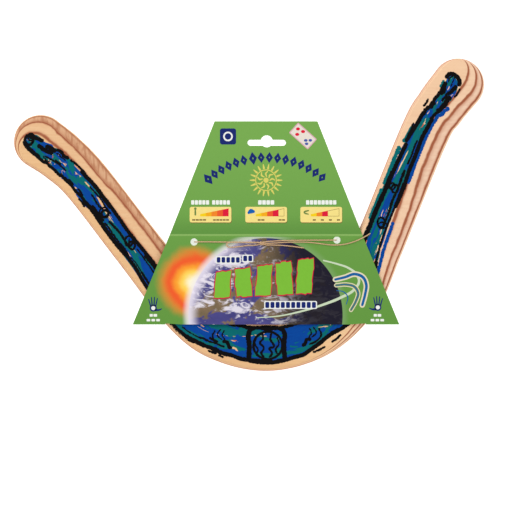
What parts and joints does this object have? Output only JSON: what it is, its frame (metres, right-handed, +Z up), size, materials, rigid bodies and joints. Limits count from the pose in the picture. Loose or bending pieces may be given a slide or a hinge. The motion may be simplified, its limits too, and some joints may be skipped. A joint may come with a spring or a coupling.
{
  "type": "boomerang",
  "caption": "Flat carved plywood boomerang with uneven arms, held in a folded hang card that is laced shut with thin twine.",
  "frame": {"origin": "middle of the bounding box without the twine, on the surface that the card's back panel lies on", "axes": "+X towards the right arm's tip, +Y from the elbow to the tips, +Z up out of the blade's face"},
  "size_m": [0.3906, 0.2596, 0.0104],
  "materials": {
    "face_veneer": "light plywood face veneer, sanded and clear sealed",
    "cross_veneer": "darker reddish cross veneer shown on the carved bevels",
    "core_veneer": "light core veneer shown on the carved bevels",
    "printed_board": "green printed card with a soft sheen",
    "jute_twine": "thin twisted jute twine"
  },
  "bodies": {
    "card": {"back_panel": "printed_board", "front_panel": "printed_board", "base_web_left": "printed_board", "base_web_right": "printed_board", "lacing_twine": "jute_twine", "bow_loop": "jute_twine", "short_end": "jute_twine", "long_end": "jute_twine", "twine_knot": "jute_twine"},
    "header": {"header_panel": "printed_board"},
    "blade": {"face_ply_bottom": "face_veneer", "cross_ply_lower": "cross_veneer", "core_ply": "core_veneer", "cross_ply_upper": "cross_veneer", "face_ply_top": "face_veneer"}
  },
  "joints": [
    {"name": "blade_slide", "type": "slide", "parent": "card", "child": "blade", "axis": [0, 1, 0], "range_m": [0, 0.012]},
    {"name": "header_fold", "type": "hinge", "parent": "card", "child": "header", "pos_m": [0.0138, -0.0169, 0.0078], "axis": [1, 0, 0], "range_deg": [0, 120]}
  ]
}
